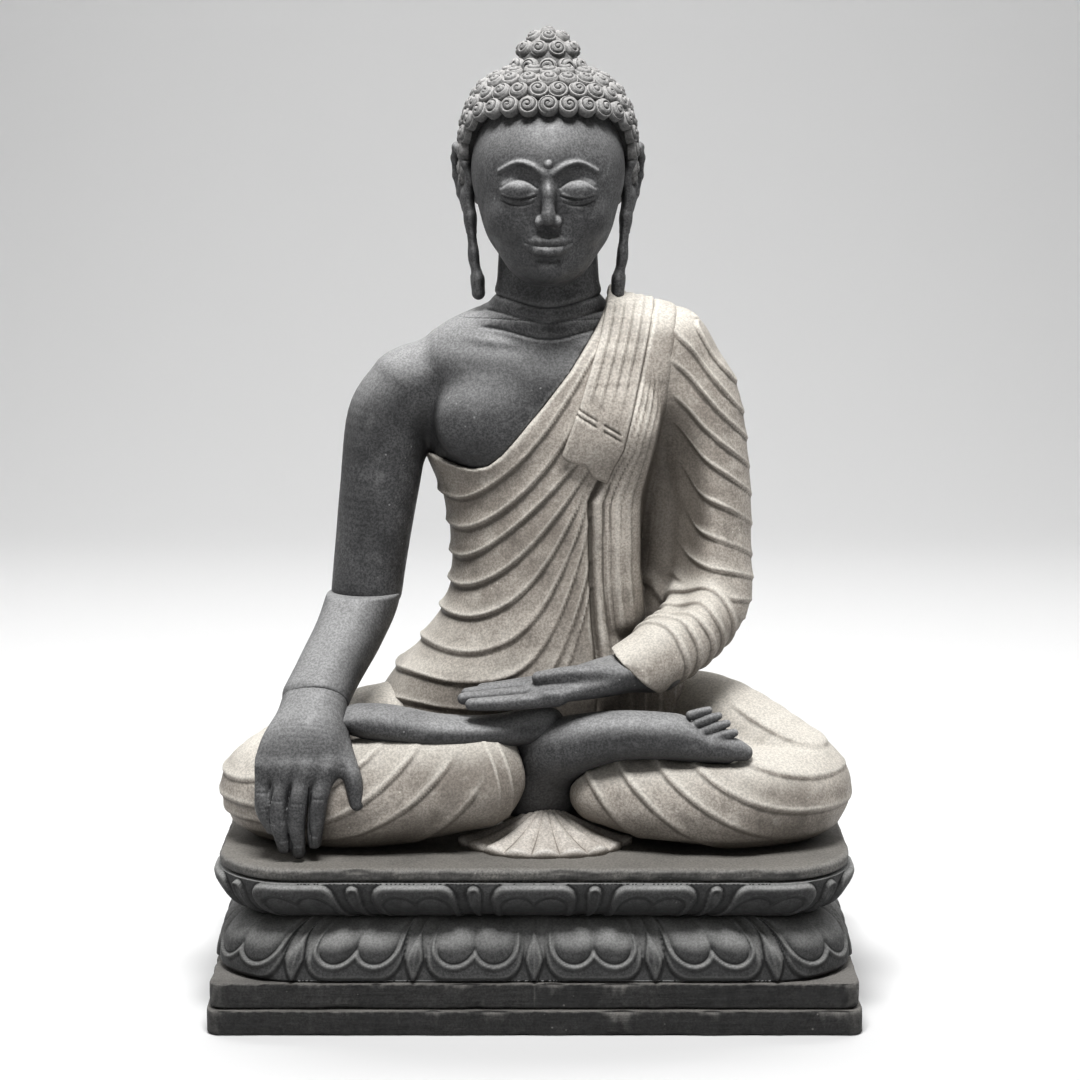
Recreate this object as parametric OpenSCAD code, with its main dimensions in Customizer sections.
// Seated Buddha statue in jointed stone, on a double lotus pedestal.
// Millimetres. +Z is up, the figure faces -Y, and the origin is the centre of the underside.
// "Right" and "left" are the figure's own: its right side is at -X.

/* [Pedestal] */
// Width of the bottom course
plinth_w = 796; // [780:2:812]
// Depth of the bottom course
plinth_d = 500; // [490:2:510]
// Height of each of the two plain courses
course_h = 31; // [26:1:40]
// How far the upper plain course stands back from the lower one
course_step = 4; // [2:1:8]
// Width of the lotus tiers at their widest
lotus_w = 776; // [760:2:780]
// Depth of the lotus tiers at their widest
lotus_d = 482; // [470:2:484]
// Corner radius of the lotus tiers in plan
lotus_corner = 100; // [90:5:110]
// Height of the lower tier, whose petals turn down
lower_tier_h = 68; // [60:1:76]
// Height of the upper tier, whose petals turn up
upper_tier_h = 52; // [46:1:60]
// How far the waist between the tiers is cut in
waist_inset = 52; // [44:1:56]
// Number of petals round each tier
petals = 16; // [12:2:20]
// How far a petal stands out of its tier
petal_relief = 8; // [4:1:10]
// Thickness of the slab that the figure sits on
seat_h = 16; // [12:1:20]

/* [Figure] */
// Height of the figure from the seat to the top of the topknot
figure_h = 994; // [900:2:1020]
// Number of curls round the widest row of hair
curls_round = 26; // [20:1:28]

/* [Fixings] */
// Thickness of the mortar beds between the stones
bed_h = 2; // [1:0.5:4]
// Radius of the pedestal's steel dowels
dowel_r = 8; // [5:1:10]
// Radius of the steel dowels in the figure
figure_dowel_r = 10; // [7:1:12]
// Radial gap that the epoxy fills round each dowel
socket_gap = 0.5; // [0.3:0.1:1]

/* [Hidden] */

stone_dark = "dimgray";
stone_mid = "gray";
stone_pale = "antiquewhite";
steel = "silver";
mortar = "tan";

// Levels of the joints, from the ground up
lower_course_z = 0;
upper_course_z = course_h + bed_h;
lower_tier_z = upper_course_z + course_h + bed_h;
upper_tier_z = lower_tier_z + lower_tier_h + bed_h;
seat_z = upper_tier_z + upper_tier_h + bed_h;
seat_top = seat_z + seat_h;

// The figure is drawn at this height above the seat, and scaled from it
drawn_h = 994;
figure_k = figure_h / drawn_h;
// The head and neck stand a little to the figure's left of the pedestal's middle
head_x = 17;

course_corner = 14;
bed_setback = 6;
egg_sides = 16;
torso_sides = 28;
finger_sides = 12;
petal_steps = 10;
tier_levels = 5;
// The robe stands this far proud of the body
robe_t = 6;

// ---------------------------------------------------------------- pedestal

module rounded(w, d, r) {
    square([w, d - 2 * r], center = true);
    square([w - 2 * r, d], center = true);
    for (x = [-1, 1], y = [-1, 1]) translate([x * (w / 2 - r), y * (d / 2 - r)]) circle(r, $fn = 48);
}

module four(x, y) {
    for (i = [-1, 1], j = [-1, 1]) translate([i * x, j * y, 0]) children();
}

// Dowels cross one bed each, and stand at their own places so that no two meet
plinth_dowel_at = [330, 180];
lower_dowel_at = [250, 130];
waist_dowel_at = [180, 90];
figure_dowel_at = [150, 70];
dowel_l = 44;
figure_dowel_l = 130;

module dowel_set(at, bed_z, r = dowel_r, l = dowel_l) {
    four(at[0], at[1]) translate([0, 0, bed_z + bed_h / 2 - l / 2]) cylinder(r = r, h = l, $fn = 48);
}

module socket_set(at, bed_z) {
    dowel_set(at, bed_z, dowel_r + socket_gap, dowel_l + 2 * socket_gap);
}

module figure_rods(gap) {
    for (x = [-1, 1]) translate([x * figure_dowel_at[0], figure_dowel_at[1], seat_z - bed_h - 40 - gap])
        cylinder(r = figure_dowel_r + gap, h = figure_dowel_l + 2 * gap, $fn = 48);
}

module plinth_lower_course() {
    color(stone_dark) difference() {
        linear_extrude(course_h) rounded(plinth_w, plinth_d, course_corner);
        socket_set(plinth_dowel_at, course_h);
    }
}

module plinth_upper_course() {
    color(stone_dark) difference() {
        translate([0, 0, upper_course_z]) linear_extrude(course_h)
            rounded(plinth_w - 2 * course_step, plinth_d - 2 * course_step, course_corner);
        socket_set(plinth_dowel_at, course_h);
        socket_set(lower_dowel_at, lower_tier_z - bed_h);
    }
}

// A point and outward normal at a distance round the rounded rectangle, from the middle of the front
half_w = lotus_w / 2;
half_d = lotus_d / 2;
straight_w = half_w - lotus_corner;
straight_d = half_d - lotus_corner;
arc_l = lotus_corner * PI / 2;
half_round = 2 * (straight_w + straight_d + arc_l);

function quarter(s) =
    s < straight_w ? [[s, -half_d], [0, -1]] :
    s < straight_w + arc_l ?
        let (a = (s - straight_w) / arc_l * 90)
            [[straight_w + lotus_corner * sin(a), -straight_d - lotus_corner * cos(a)], [sin(a), -cos(a)]] :
        [[half_w, -straight_d + s - straight_w - arc_l], [1, 0]];

function flip_y(q) = [[q[0][0], -q[0][1]], [q[1][0], -q[1][1]]];

function rim(s) =
    s >= half_round ? -rim(s - half_round) :
    s <= half_round / 2 ? quarter(s) : flip_y(quarter(half_round - s));

// How far the tier's face stands back from its rim, from 0 at the waist to 1 at the petal tips
function setback(t) = waist_inset * (1 - sqrt(1 - pow(1 - t, 2)));

// A petal's relief: c runs across it from -0.5 to 0.5, and t from the waist to the tip
function relief(c, t) =
    let (w = 0.34 + 0.13 * sin(150 * t), e = 1 - pow(abs(c) / w, 4))
        petal_relief * (e > 0 ? e : 0) * sin(180 * pow(t, 1.4));

module tier(z, h, up, phase) {
    n = petals * petal_steps;
    levels = [for (i = [0 : tier_levels]) up ? i / tier_levels : 1 - i / tier_levels];
    ring = [for (t = levels, i = [0 : n - 1])
        let (q = rim(i * 2 * half_round / n), c = (i / petal_steps + phase) % 1 - 0.5,
             out = relief(c, t) - setback(t))
            [q[0][0] + q[1][0] * out, q[0][1] + q[1][1] * out, z + h * (up ? t : 1 - t)]];
    last = tier_levels * n;
    points = concat(ring, [[0, 0, z], [0, 0, z + h]]);
    faces = concat(
        [for (k = [0 : tier_levels - 1], i = [0 : n - 1])
            [k * n + i, (k + 1) * n + i, (k + 1) * n + (i + 1) % n]],
        [for (k = [0 : tier_levels - 1], i = [0 : n - 1])
            [k * n + i, (k + 1) * n + (i + 1) % n, k * n + (i + 1) % n]],
        [for (i = [0 : n - 1]) [len(ring), i, (i + 1) % n]],
        [for (i = [0 : n - 1]) [len(ring) + 1, last + (i + 1) % n, last + i]]);
    polyhedron(points, faces);
}

module lotus_lower_tier() {
    color(stone_mid) difference() {
        tier(lower_tier_z, lower_tier_h, false, 0);
        socket_set(lower_dowel_at, lower_tier_z - bed_h);
        socket_set(waist_dowel_at, upper_tier_z - bed_h);
    }
}

module lotus_upper_tier() {
    color(stone_dark) difference() {
        tier(upper_tier_z, upper_tier_h, true, 0.5);
        socket_set(waist_dowel_at, upper_tier_z - bed_h);
        figure_rods(socket_gap);
    }
}

module seat_slab() {
    color(stone_mid) difference() {
        translate([0, 0, seat_z]) linear_extrude(seat_h) rounded(lotus_w, lotus_d, lotus_corner);
        figure_rods(socket_gap);
    }
}

module bed(z, w, d, r) {
    translate([0, 0, z]) linear_extrude(bed_h) rounded(w - 2 * bed_setback, d - 2 * bed_setback, r);
}

module plinth_mortar_bed() {
    color(mortar) difference() {
        bed(course_h, plinth_w - 2 * course_step, plinth_d - 2 * course_step, course_corner);
        dowel_set(plinth_dowel_at, course_h);
    }
}

module lotus_lower_mortar_bed() {
    color(mortar) difference() {
        bed(lower_tier_z - bed_h, lotus_w, lotus_d, lotus_corner);
        dowel_set(lower_dowel_at, lower_tier_z - bed_h);
    }
}

module lotus_waist_mortar_bed() {
    inset = 2 * waist_inset;
    color(mortar) difference() {
        bed(upper_tier_z - bed_h, lotus_w - inset, lotus_d - inset, lotus_corner - waist_inset);
        dowel_set(waist_dowel_at, upper_tier_z - bed_h);
    }
}

module seat_mortar_bed() {
    color(mortar) difference() {
        bed(seat_z - bed_h, lotus_w, lotus_d, lotus_corner);
        figure_rods(0);
    }
}

module plinth_dowels() {
    color(steel) dowel_set(plinth_dowel_at, course_h);
}

module lotus_lower_dowels() {
    color(steel) dowel_set(lower_dowel_at, lower_tier_z - bed_h);
}

module lotus_waist_dowels() {
    color(steel) dowel_set(waist_dowel_at, upper_tier_z - bed_h);
}

module figure_dowels() {
    color(steel) figure_rods(0);
}

// ---------------------------------------------------------------- figure

// Figure coordinates: X from the pedestal's middle, Y as the pedestal's, Z from the seat's top
module placed() {
    translate([0, 0, seat_top]) scale(figure_k) children();
}

// An egg is [x, y, z, x radius, y radius, z radius], and a chain is a limb through a list of them
module egg(e, sides = egg_sides) {
    translate([e[0], e[1], e[2]]) scale([e[3], e[4], e[5]]) sphere(1, $fn = sides);
}

module chain(eggs, sides = egg_sides) {
    for (i = [0 : len(eggs) - 2]) hull() {
        egg(eggs[i], sides);
        egg(eggs[i + 1], sides);
    }
}

// A stack is a body through level ovals, each [x, y, z, half width, half depth]
module oval(o, grow) {
    translate([o[0], o[1], o[2]]) scale([o[3] + grow, o[4] + grow, 1]) cylinder(r = 1, h = 1, $fn = torso_sides);
}

module stack(ovals, grow = 0) {
    for (i = [0 : len(ovals) - 2]) hull() {
        oval(ovals[i], grow);
        oval(ovals[i + 1], grow);
    }
}

right_leg_eggs = [
    [-70, 95, 75, 88, 85, 74], [-200, 20, 84, 80, 74, 82], [-325, -75, 62, 67, 72, 61],
    [-250, -138, 66, 60, 60, 64], [-150, -142, 78, 60, 58, 68], [-68, -140, 88, 56, 56, 64]
];
left_leg_eggs = [
    [100, 95, 75, 88, 85, 74], [215, 15, 92, 82, 74, 92], [328, -80, 61, 67, 72, 60],
    [250, -140, 60, 62, 62, 58], [150, -136, 62, 60, 55, 52], [82, -126, 68, 42, 45, 42]
];
pelvis_ovals = [
    [15, 75, 0, 150, 110], [15, 70, 60, 165, 125], [12, 62, 130, 190, 130], [12, 58, 160, 175, 122]
];
torso_ovals = [
    [12, 60, 150, 200, 122], [12, 58, 182, 180, 120], [12, 58, 206, 158, 116], [12, 60, 232, 140, 110],
    [12, 60, 264, 122, 104], [13, 60, 308, 112, 98], [14, 60, 364, 115, 98], [14, 61, 416, 125, 101],
    [13, 62, 461, 143, 106], [12, 62, 510, 158, 109], [12, 60, 556, 168, 105], [12, 56, 588, 165, 93],
    [13, 54, 612, 150, 79], [14, 51, 632, 124, 66], [16, 50, 652, 80, 52]
];
// The neck carries three rings, which narrow towards the chin
neck_ovals = [
    [head_x, 36, 596, 74, 62], [head_x, 33, 622, 70, 62], [head_x, 31, 632, 66, 58], [head_x, 29, 646, 69, 61],
    [head_x, 28, 654, 65, 57], [head_x, 27, 668, 67, 59], [head_x, 26, 676, 63, 56], [head_x, 26, 716, 62, 60]
];
right_upper_arm_eggs = [
    [-156, 52, 546, 56, 58, 52], [-184, 48, 504, 54, 56, 50], [-197, 40, 424, 50, 54, 42], [-213, 22, 300, 43, 46, 30]
];
right_forearm_eggs = [
    [-213, 20, 290, 43, 46, 36], [-232, -30, 246, 42, 42, 42], [-256, -88, 206, 40, 38, 40], [-270, -128, 180, 42, 32, 36]
];
left_arm_eggs = [
    [160, 54, 588, 64, 62, 58], [196, 48, 536, 62, 60, 54], [214, 42, 440, 58, 58, 50], [219, 28, 330, 56, 57, 46],
    [220, 4, 284, 54, 53, 42], [194, -46, 252, 49, 46, 43], [150, -94, 224, 45, 41, 37]
];
right_foot_eggs = [
    [8, -140, 96, 42, 36, 44], [60, -150, 138, 40, 32, 32], [150, -156, 148, 38, 30, 26], [215, -152, 146, 38, 32, 24]
];
left_foot_eggs = [[-56, -146, 138, 22, 24, 17], [-118, -146, 147, 36, 30, 21], [-176, -136, 155, 36, 32, 22]];
left_palm_eggs = [[142, -100, 208, 32, 32, 24], [92, -124, 206, 42, 40, 20], [34, -136, 198, 44, 42, 15]];
right_palm_eggs = [[-272, -132, 174, 42, 28, 32], [-276, -176, 140, 48, 20, 34], [-280, -198, 112, 52, 15, 22]];

// The line where the robe's edge crosses the chest and the back, seen from the front
hem_line = [
    [-400, 500], [-150, 472], [-104, 462], [-58, 461], [-28, 480], [-5, 507], [44, 572], [78, 630], [97, 665], [97, 800],
    [-400, 800]
];

module above_hem() {
    translate([0, 400, 0]) rotate([90, 0, 0]) linear_extrude(800) polygon(hem_line);
}

module below_seat() {
    translate([-600, -600, -400]) cube([1200, 1200, 400]);
}

// Sockets for the rods that join the figure's stones
module rod(at, l, tilt = [0, 0, 0], gap = 0) {
    translate(at) rotate(tilt) translate([0, 0, -l / 2 - gap])
        cylinder(r = figure_dowel_r + gap, h = l + 2 * gap, $fn = 32);
}

neck_rod = [head_x, 36, 650];
waist_rods = [[-60, 70, 160], [80, 70, 160]];
shoulder_rod = [-140, 52, 560];
elbow_rod = [-216, 12, 286];
rod_l = 110;
elbow_rod_l = 84;
waist_rod_l = 150;
elbow_tilt = [-35, 0, 0];
across = [0, 90, 0];

module waist_sockets(gap) {
    for (w = waist_rods) rod(w, waist_rod_l, [0, 0, 0], gap);
}

module arms() {
    chain(right_upper_arm_eggs);
    chain(right_forearm_eggs);
    chain(left_arm_eggs);
}

module hands_and_feet() {
    chain(right_palm_eggs);
    chain(left_palm_eggs);
    chain(right_foot_eggs);
    chain(left_foot_eggs);
    right_fingers();
    left_fingers();
    left_thumb();
}

// What every leg gives way to: the seat, the robe, the left sleeve, the hands and feet, and the rods
module leg_cutters() {
    below_seat();
    stack(torso_ovals, robe_t);
    chain(left_arm_eggs);
    hands_and_feet();
    waist_sockets(socket_gap);
}

module right_leg() {
    color(stone_pale) difference() {
        placed() difference() {
            union() {
                chain(right_leg_eggs);
                stack(pelvis_ovals);
            }
            leg_cutters();
            chain(left_leg_eggs);
        }
        figure_rods(socket_gap);
    }
}

module left_leg() {
    color(stone_pale) difference() {
        placed() difference() {
            chain(left_leg_eggs);
            leg_cutters();
        }
        figure_rods(socket_gap);
    }
}

module toes(at, step, n, size) {
    for (i = [0 : n - 1]) hull() {
        egg([at[0] + i * step[0], at[1] + i * step[1], at[2] + i * step[2], size, size, size * 0.9], finger_sides);
        egg([at[0] + i * step[0] + 14, at[1] + i * step[1] + 1, at[2] + i * step[2] - 3, size * 0.8, size * 0.9, size * 0.8],
            finger_sides);
    }
}

module right_foot() {
    color(stone_dark) placed() difference() {
        union() {
            chain(right_foot_eggs);
            toes([236, -172, 134], [2, 14, 6], 5, 10);
        }
        chain(left_palm_eggs);
        left_fingers();
    }
}

module left_foot() {
    color(stone_dark) placed() difference() {
        union() {
            chain(left_foot_eggs);
            toes([-206, -158, 157], [0, 12, 1], 5, 8);
        }
        chain(right_palm_eggs);
        chain(left_palm_eggs);
        left_fingers();
        chain(right_foot_eggs);
    }
}

fan_at = [14, -116];
fan_r = 88;
fan_squash = 0.5;
fan_pleats = 9;
fan_h = 10;

// The fan of pleats lies on the seat in front of the ankles, with a ridge along each pleat
module pleated_apron() {
    color(stone_pale) placed() difference() {
        for (i = [0 : fan_pleats - 1]) {
            a = 180 + (i + 0.5) * 180 / fan_pleats;
            hull() {
                translate([fan_at[0], fan_at[1], 0]) cylinder(r = 14, h = 34, $fn = finger_sides);
                translate([fan_at[0] + fan_r * cos(a), fan_at[1] + fan_squash * fan_r * sin(a), 0])
                    cylinder(r = 15, h = fan_h, $fn = finger_sides);
            }
        }
        chain(right_leg_eggs);
        chain(left_leg_eggs);
        chain(right_foot_eggs);
        below_seat();
    }
}

module torso_robe() {
    color(stone_pale) placed() difference() {
        stack(torso_ovals, robe_t);
        above_hem();
        arms();
        hands_and_feet();
        waist_sockets(socket_gap);
    }
}

module bare_chest() {
    color(stone_dark) placed() intersection() {
        above_hem();
        difference() {
            stack(torso_ovals);
            stack(neck_ovals);
            arms();
            rod(neck_rod, rod_l, [0, 0, 0], socket_gap);
            rod(shoulder_rod, rod_l, across, socket_gap);
        }
    }
}

// The robe's folded end hangs over the left shoulder and lies down the breast, seen from the front
sash_line = [
    [96, 680], [81, 617], [57, 540], [35, 474], [66, 464], [85, 438], [97, 455], [110, 480], [131, 567], [155, 680]
];
sash_t = 8;

module shoulder_sash() {
    color(stone_pale) placed() intersection() {
        difference() {
            stack(torso_ovals, robe_t + sash_t);
            stack(torso_ovals, robe_t);
            stack(neck_ovals);
            chain(left_arm_eggs);
        }
        translate([0, 60, 0]) rotate([90, 0, 0]) linear_extrude(300) polygon(sash_line);
    }
}

module left_sleeve() {
    color(stone_pale) placed() difference() {
        chain(left_arm_eggs);
        chain(left_palm_eggs);
        left_thumb();
    }
}

// A finger is three joints long, from its root through a bend to its tip
module finger(root, bend, tip, r) {
    hull() {
        egg([root[0], root[1], root[2], r, r, r], finger_sides);
        egg([bend[0], bend[1], bend[2], r * 0.95, r * 0.95, r * 0.95], finger_sides);
    }
    hull() {
        egg([bend[0], bend[1], bend[2], r * 0.95, r * 0.95, r * 0.95], finger_sides);
        egg([tip[0], tip[1], tip[2], r * 0.78, r * 0.78, r * 0.78], finger_sides);
    }
}

module right_fingers() {
    finger([-317, -196, 104], [-316, -204, 66], [-309, -200, 38], 10);
    finger([-296, -204, 106], [-298, -211, 60], [-296, -206, 18], 11);
    finger([-275, -206, 108], [-279, -212, 58], [-281, -207, 12], 11);
    finger([-252, -202, 108], [-257, -209, 64], [-262, -206, 24], 11);
    finger([-232, -176, 128], [-219, -196, 98], [-216, -200, 68], 12);
}

module left_fingers() {
    for (i = [0 : 3]) finger([20, -166 + i * 19, 192 + i * 3], [-30, -168 + i * 18, 188 + i * 3], [-78 + 4 * abs(i - 1.5),
        -168 + i * 16, 184 + i * 3], 9);
}

module left_thumb() {
    finger([96, -146, 212], [52, -158, 216], [10, -160, 214], 11);
}

module left_hand() {
    color(stone_dark) placed() {
        chain(left_palm_eggs);
        left_fingers();
        left_thumb();
    }
}

module right_upper_arm() {
    color(stone_dark) placed() difference() {
        chain(right_upper_arm_eggs);
        chain(right_forearm_eggs);
        rod(shoulder_rod, rod_l, across, socket_gap);
        rod(elbow_rod, elbow_rod_l, elbow_tilt, socket_gap);
        stack(neck_ovals);
    }
}

module right_forearm() {
    color(stone_dark) placed() difference() {
        chain(right_forearm_eggs);
        chain(right_palm_eggs);
        right_fingers();
        rod(elbow_rod, elbow_rod_l, elbow_tilt, socket_gap);
    }
}

module right_hand() {
    color(stone_dark) placed() {
        chain(right_palm_eggs);
        right_fingers();
    }
}

// ---------------------------------------------------------------- head

skull = [head_x, 30, 826, 94, 104, 104];
face_eggs = [[head_x, -6, 800, 84, 82, 70], [head_x, -18, 745, 78, 66, 52], [head_x, -30, 706, 44, 40, 26]];
cap = [head_x, 36, 832, 101, 110, 106];
knot = [head_x, 42, 926, 41, 41, 60];
eye_line = 800;
eye_apart = 37;
nose_base = 760;
lip_line = 728;
// The hairline runs from the forehead down to the front of the ears
hairline_z = 892;
hairline_y = -42;

module features() {
    hull() {
        egg([head_x, -80, 806, 9, 12, 9], finger_sides);
        egg([head_x, -96, nose_base, 16, 14, 9], finger_sides);
    }
    for (x = [-1, 1]) egg([head_x + x * eye_apart, -69, eye_line, 19, 12, 9], finger_sides);
    for (z = [-1, 1]) egg([head_x, -80, lip_line + z * 5, 24 - 3 * z, 11, 6], finger_sides);
}

module head_mass() {
    egg(skull, 24);
    chain(face_eggs, 24);
}

module behind_hairline() {
    difference() {
        translate([head_x - 150, hairline_y, 715]) cube([300, 260, 300]);
        translate([head_x - 150, hairline_y - 1, 700]) rotate([-24, 0, 0]) cube([300, 46, 170]);
    }
    translate([head_x - 150, -160, hairline_z]) cube([300, 260, 140]);
}

module neck() {
    color(stone_dark) placed() difference() {
        stack(neck_ovals);
        head_mass();
        rod(neck_rod, rod_l, [0, 0, 0], socket_gap);
    }
}

module head() {
    color(stone_dark) placed() difference() {
        union() {
            head_mass();
            features();
        }
        rod(neck_rod, rod_l, [0, 0, 0], socket_gap);
        ear(1);
        ear(-1);
    }
}

module ear(side) {
    x = head_x + side * 97;
    tilt = side * 9;
    chain([
        [x + tilt, 40, 840, 9, 18, 12], [x + 2 * tilt, 44, 826, 10, 22, 14], [x + 1.5 * tilt, 38, 790, 9, 16, 16],
        [x, 30, 745, 8, 12, 14], [x - tilt, 26, 700, 8, 11, 14], [x - tilt, 26, 667, 9, 12, 10]
    ], 14);
}

module right_ear() {
    color(stone_dark) placed() ear_only(-1);
}

module left_ear() {
    color(stone_dark) placed() ear_only(1);
}

module ear_only(side) {
    difference() {
        ear(side);
        stack(torso_ovals, robe_t);
        chain(side < 0 ? right_upper_arm_eggs : left_arm_eggs);
        stack(neck_ovals);
    }
}

module hair_cap() {
    color(stone_mid) placed() difference() {
        intersection() {
            egg(cap, 28);
            behind_hairline();
        }
        head_mass();
        egg(knot, 24);
        ear(1);
        ear(-1);
    }
}

module ushnisha() {
    color(stone_mid) placed() difference() {
        egg(knot, 32);
        egg(cap, 32);
    }
}

curl_r = 11.6;
curl_h = 8;

// One curl is a low cone, standing on the hair's surface at a longitude and latitude of an egg
module curl(e, lon, lat) {
    p = [e[3] * cos(lat) * sin(lon), -e[4] * cos(lat) * cos(lon), e[5] * sin(lat)];
    n = [p[0] / pow(e[3], 2), p[1] / pow(e[4], 2), p[2] / pow(e[5], 2)];
    translate([e[0], e[1], e[2]] + p) rotate([0, acos(n[2] / norm(n)), atan2(n[1], n[0])])
        cylinder(r1 = curl_r, r2 = curl_r * 0.55, h = curl_h, $fn = 24);
}

// Rows of curls: latitude, count as a share of the widest row, and how far round each way they reach
cap_rows = [
    [52, 0.62, 180], [39, 0.78, 180], [26, 0.9, 130], [12, 0.98, 112], [-2, 1, 104], [-16, 0.96, 98],
    [-30, 0.86, 90], [-43, 0.72, 80]
];
knot_rows = [[12, 9], [44, 6], [90, 1]];

module hair_curls() {
    color(stone_mid) placed() {
        for (row = cap_rows) {
            n = round(curls_round * row[1] * row[2] / 180);
            for (i = [0 : n - 1]) curl(cap, 180 - row[2] + (i + 0.5) * 2 * row[2] / n, row[0]);
        }
        for (row = knot_rows) for (i = [0 : row[1] - 1]) curl(knot, i * 360 / row[1], row[0]);
    }
}

module neck_dowel() {
    color(steel) placed() rod(neck_rod, rod_l);
}

module waist_dowels() {
    color(steel) placed() waist_sockets(0);
}

module shoulder_dowel() {
    color(steel) placed() rod(shoulder_rod, rod_l, across);
}

module elbow_dowel() {
    color(steel) placed() rod(elbow_rod, elbow_rod_l, elbow_tilt);
}

plinth_lower_course();
plinth_upper_course();
lotus_lower_tier();
lotus_upper_tier();
seat_slab();
plinth_mortar_bed();
lotus_lower_mortar_bed();
lotus_waist_mortar_bed();
seat_mortar_bed();
plinth_dowels();
lotus_lower_dowels();
lotus_waist_dowels();
figure_dowels();
right_leg();
left_leg();
right_foot();
left_foot();
pleated_apron();
torso_robe();
bare_chest();
shoulder_sash();
left_sleeve();
left_hand();
right_upper_arm();
right_forearm();
right_hand();
neck();
head();
right_ear();
left_ear();
hair_cap();
ushnisha();
hair_curls();
neck_dowel();
waist_dowels();
shoulder_dowel();
elbow_dowel();
